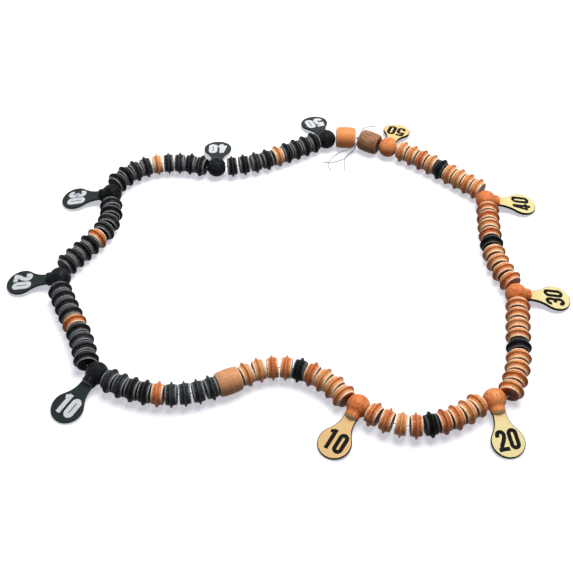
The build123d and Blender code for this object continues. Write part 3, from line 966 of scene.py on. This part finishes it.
def floor_finish(stage):
    """The pale floor: matt, with a glow where it is looked at, so that it is white but for its shade."""
    material, tree, shader = new_finish("floor")
    tree.nodes.remove(shader)
    place = add_node(tree, "ShaderNodeTexCoord").outputs["Object"]
    speck = sums(tree, "MULTIPLY", noise(tree, place, "floor"), 0.04)
    body = blend_colours(tree, speck, stage.floor, shaded(stage.floor, 0.9))
    body = blend_colours(tree, looked_at(tree), shaded(stage.floor, stage.bounce), body)
    matt = add_node(tree, "ShaderNodeBsdfDiffuse", Color=body)
    away = add_node(tree, "ShaderNodeVectorMath", operation="LENGTH", _0=place).outputs["Value"]
    lift = fade(tree, away, 2.0, (0.44, stage.lift), (1.2, 1.0))
    lift = sums(tree, "MULTIPLY", lift, looked_at(tree))
    glow = add_node(tree, "ShaderNodeEmission", Color=(*stage.glow, 1), Strength=lift)
    both = add_node(tree, "ShaderNodeAddShader", _0=matt.outputs[0], _1=glow.outputs[0])
    tree.links.new(both.outputs[0], tree.nodes["Material Output"].inputs["Surface"])
    return material


# Operators, one for each kind of piece

class SCORER_OT_camera(bpy.types.Operator):
    """Set up the camera at the viewing angle"""
    bl_idname = "scorer.camera"
    bl_label = "Camera"

    def execute(self, context):
        stage = context.scene.scorer_stage
        lens = bpy.data.cameras.new("camera")
        lens.sensor_width, lens.sensor_fit, lens.lens = 36, "HORIZONTAL", stage.lens
        lens.clip_start, lens.clip_end = 0.01, 100
        camera = bpy.data.objects.new("camera", lens)
        camera.location = (stage.aside, -stage.behind, stage.distance)
        camera.rotation_euler = (stage.tilt, 0, 0)
        context.scene.collection.objects.link(camera)
        context.scene.camera = camera
        context.scene.view_settings.view_transform = "Standard"
        return {"FINISHED"}


class SCORER_OT_loose_ends(bpy.types.Operator):
    """Lay the thread's four loose ends from the knot to the table"""
    bl_idname = "scorer.loose_ends"
    bl_label = "Loose ends"

    def execute(self, context):
        thread = context.scene.scorer_thread
        mount = next(m for m in frame["record"]["mounts"] if m["name"] == "rear_hanging_point")
        knot, outward = Vector(mount["pos_m"]), Vector(mount["axis"])
        along, inward = Vector((-outward.y, outward.x, 0)), -outward
        floor_line = thread.diameter / 2
        for name, (real_length, route) in LOOSE_ENDS.items():
            points = []
            for part_along, part_inward, part_up in route:
                point = knot + knot.z * (part_along * along + part_inward * inward)
                point.z = floor_line + part_up * (knot.z - floor_line)
                points.append(point)
            line = bpy.data.curves.new(f"loose_end_{name}", "CURVE")
            line.dimensions = "3D"
            spline = line.splines.new("NURBS")
            spline.points.add(len(points) - 1)
            for corner, point in zip(spline.points, points):
                corner.co = (*point, 1)
            spline.order_u = 3
            spline.use_endpoint_u = True
            spline.resolution_u = 16
            line.bevel_depth = thread.diameter / 2
            line.bevel_resolution = 3
            line.use_fill_caps = True
            line.materials.append(finish_named("thread"))
            loose = bpy.data.objects.new(f"loose_end_{name}", line)
            context.scene.collection.objects.link(loose)
            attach(loose, "thread")
            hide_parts(f"string_end_{name}")
        return {"FINISHED"}


class SCORER_OT_thread(bpy.types.Operator):
    """Finish the thread that runs through every bore, and its knot"""
    bl_idname = "scorer.thread"
    bl_label = "Thread and knot"

    def execute(self, context):
        finish = finish_named("thread")
        for name in ("string", "string_knot"):
            node = frame["nodes"][name]
            node.data.materials.clear()
            node.data.materials.append(finish)
            node.data.shade_smooth()
        return {"FINISHED"}


class SCORER_OT_beads(bpy.types.Operator):
    """Turn the counting beads, four to a stretch"""
    bl_idname = "scorer.beads"
    bl_label = "Counting beads"

    def execute(self, context):
        beads = context.scene.scorer_beads
        rng = np.random.default_rng(seed=11)
        for side in SIDES:
            for first in range(1, 50, 5):
                name = f"{side}_beads_{first:02d}_{first + 3:02d}"
                blanks = [(bead_blank(beads, rng), place) for place in bead_frames(name)]
                turn_out(name, blanks, rng, f"{side}_wood")
        return {"FINISHED"}


class SCORER_OT_markers(bpy.types.Operator):
    """Turn the marker beads, each in the other side's colour"""
    bl_idname = "scorer.markers"
    bl_label = "Marker beads"

    def execute(self, context):
        beads = context.scene.scorer_beads
        rng = np.random.default_rng(seed=12)
        for side, other in (SIDES, SIDES[::-1]):
            for number in range(5, 50, 10):
                name = f"{side}_side_marker_{number:02d}"
                blanks = [(bead_blank(beads, rng), spin_frame(name))]
                turn_out(name, blanks, rng, MARKERS[other], f"{other}_wood")
        return {"FINISHED"}


class SCORER_OT_barrels(bpy.types.Operator):
    """Turn the three barrels"""
    bl_idname = "scorer.barrels"
    bl_label = "Barrels"

    def execute(self, context):
        barrels, beads = context.scene.scorer_barrels, context.scene.scorer_beads
        rng = np.random.default_rng(seed=13)
        blank = turned(barrel_section(barrels, beads), barrels.turns)
        for end, (finish, slot) in BARRELS.items():
            name = f"{end}_barrel"
            turn_out(name, [(blank, spin_frame(name))], rng, finish, slot)
        return {"FINISHED"}


class SCORER_OT_pointers(bpy.types.Operator):
    """Turn the pointers, and drill and slot them"""
    bl_idname = "scorer.pointers"
    bl_label = "Pointers"

    def execute(self, context):
        rng = np.random.default_rng(seed=14)
        blank = pointer_blank(context.scene.scorer_pointers, context.scene.scorer_beads)
        stem_along_fibres = Matrix.Rotation(pi / 2, 3, "X")
        for side in SIDES:
            for number in NUMBERS:
                blanks = [(blank, tag_frame(side, number))]
                turn_out(f"{side}_pointer_{number}", blanks, rng, f"{side}_wood",
                         stood=stem_along_fibres, palest=0.5)
        return {"FINISHED"}


class SCORER_OT_plates(bpy.types.Operator):
    """Cut the number plates"""
    bl_idname = "scorer.plates"
    bl_label = "Number plates"

    def execute(self, context):
        rng = np.random.default_rng(seed=15)
        blank = plate_blank(context.scene.scorer_plates, context.scene.scorer_pointers)
        for side, finish in zip(SIDES, ("cream_plate", "black_plate")):
            for number in NUMBERS:
                name = f"{side}_plate_{number}"
                sheet = (np.eye(3), np.array([0, 0, rng.uniform(-0.5, 0.5)]))
                put_in_place(f"cut_{name}", [(blank, tag_frame(side, number))], finish,
                             f"{side}_pointer_{number}", [name], [sheet], [YELLOWING[number]])
        return {"FINISHED"}


class SCORER_OT_figures(bpy.types.Operator):
    """Paint the plates' figures"""
    bl_idname = "scorer.figures"
    bl_label = "Figures"

    def execute(self, context):
        numbers, plates = context.scene.scorer_numbers, context.scene.scorer_plates
        rng = np.random.default_rng(seed=16)
        tops_to_stem = Matrix.Translation((0, numbers.middle, 0)) @ Matrix.Rotation(pi, 4, "Z")
        step = (numbers.width + numbers.gap) / 2
        for side, paint, slot, stroke in (
            ("pale", "black_paint", "cream_plate", numbers.black_stroke),
            ("dark", "white_paint", "black_plate", numbers.white_stroke),
        ):
            blanks = [figure_blank(figure, numbers, stroke, plates) for figure in range(6)]
            for number in NUMBERS:
                place = tag_frame(side, number) @ tops_to_stem
                figures = [
                    (blanks[number // 10], place @ Matrix.Translation((-step, 0, 0))),
                    (blanks[0], place @ Matrix.Translation((step, 0, 0))),
                ]
                put_in_place(f"figures_{side}_{number}", figures, paint, f"{side}_pointer_{number}", [],
                             *from_billets(figures, rng), slot)
        return {"FINISHED"}


class SCORER_OT_stage(bpy.types.Operator):
    """Set out the pale floor and the soft light"""
    bl_idname = "scorer.stage"
    bl_label = "Stage"

    def execute(self, context):
        stage = context.scene.scorer_stage
        half = stage.floor_size / 2
        mesh = bpy.data.meshes.new("floor")
        corners = [(-half, -half, 0), (half, -half, 0), (half, half, 0), (-half, half, 0)]
        mesh.from_pydata(corners, [], [[0, 1, 2, 3]])
        mesh.materials.append(floor_finish(stage))
        floor = bpy.data.objects.new("floor", mesh)
        context.scene.collection.objects.link(floor)
        for name, (place, size, power, tone) in LAMPS.items():
            lamp = bpy.data.lights.new(name, "AREA")
            lamp.energy, lamp.size, lamp.color = power, size, tone
            light = bpy.data.objects.new(name, lamp)
            light.location = place
            light.rotation_euler = (-Vector(place)).to_track_quat("-Z", "Y").to_euler()
            context.scene.collection.objects.link(light)
        world = bpy.data.worlds.new("studio")
        world.use_nodes = True
        tree = world.node_tree
        sky = tree.nodes["Background"]
        seen = looked_at(tree)
        tree.links.new(blend_colours(tree, seen, stage.haze, (1, 1, 1)), sky.inputs["Color"])
        tree.links.new(sums(tree, "MULTIPLY_ADD", seen, 1 - stage.sky, stage.sky), sky.inputs["Strength"])
        context.scene.world = world
        return {"FINISHED"}


OPERATORS = (
    SCORER_OT_camera, SCORER_OT_loose_ends, SCORER_OT_thread, SCORER_OT_beads, SCORER_OT_markers,
    SCORER_OT_barrels, SCORER_OT_pointers, SCORER_OT_plates, SCORER_OT_figures, SCORER_OT_stage,
)


class SCORER_PT_panel(bpy.types.Panel):
    """The scorer's sizes, colours and pieces"""
    bl_label = "Bead scorer"
    bl_idname = "SCORER_PT_panel"
    bl_space_type = "VIEW_3D"
    bl_region_type = "UI"
    bl_category = "Scorer"

    def draw(self, context):
        for title, group in SETTINGS.items():
            box = self.layout.box()
            box.label(text=group.__doc__)
            for key in group.__annotations__:
                box.prop(getattr(context.scene, title), key)
        for operator in OPERATORS:
            self.layout.operator(operator.bl_idname)


def register():
    for title, group in SETTINGS.items():
        bpy.utils.register_class(group)
        setattr(bpy.types.Scene, title, PointerProperty(type=group))
    for kind in (*OPERATORS, SCORER_PT_panel):
        bpy.utils.register_class(kind)


def unregister():
    for kind in reversed((*OPERATORS, SCORER_PT_panel)):
        bpy.utils.unregister_class(kind)
    for title, group in reversed(SETTINGS.items()):
        delattr(bpy.types.Scene, title)
        bpy.utils.unregister_class(group)


def main():
    """Make the whole scorer and its stage."""
    register()
    for operator in OPERATORS:
        family, name = operator.bl_idname.split(".")
        getattr(getattr(bpy.ops, family), name)()


if __name__ == "__main__":
    main()
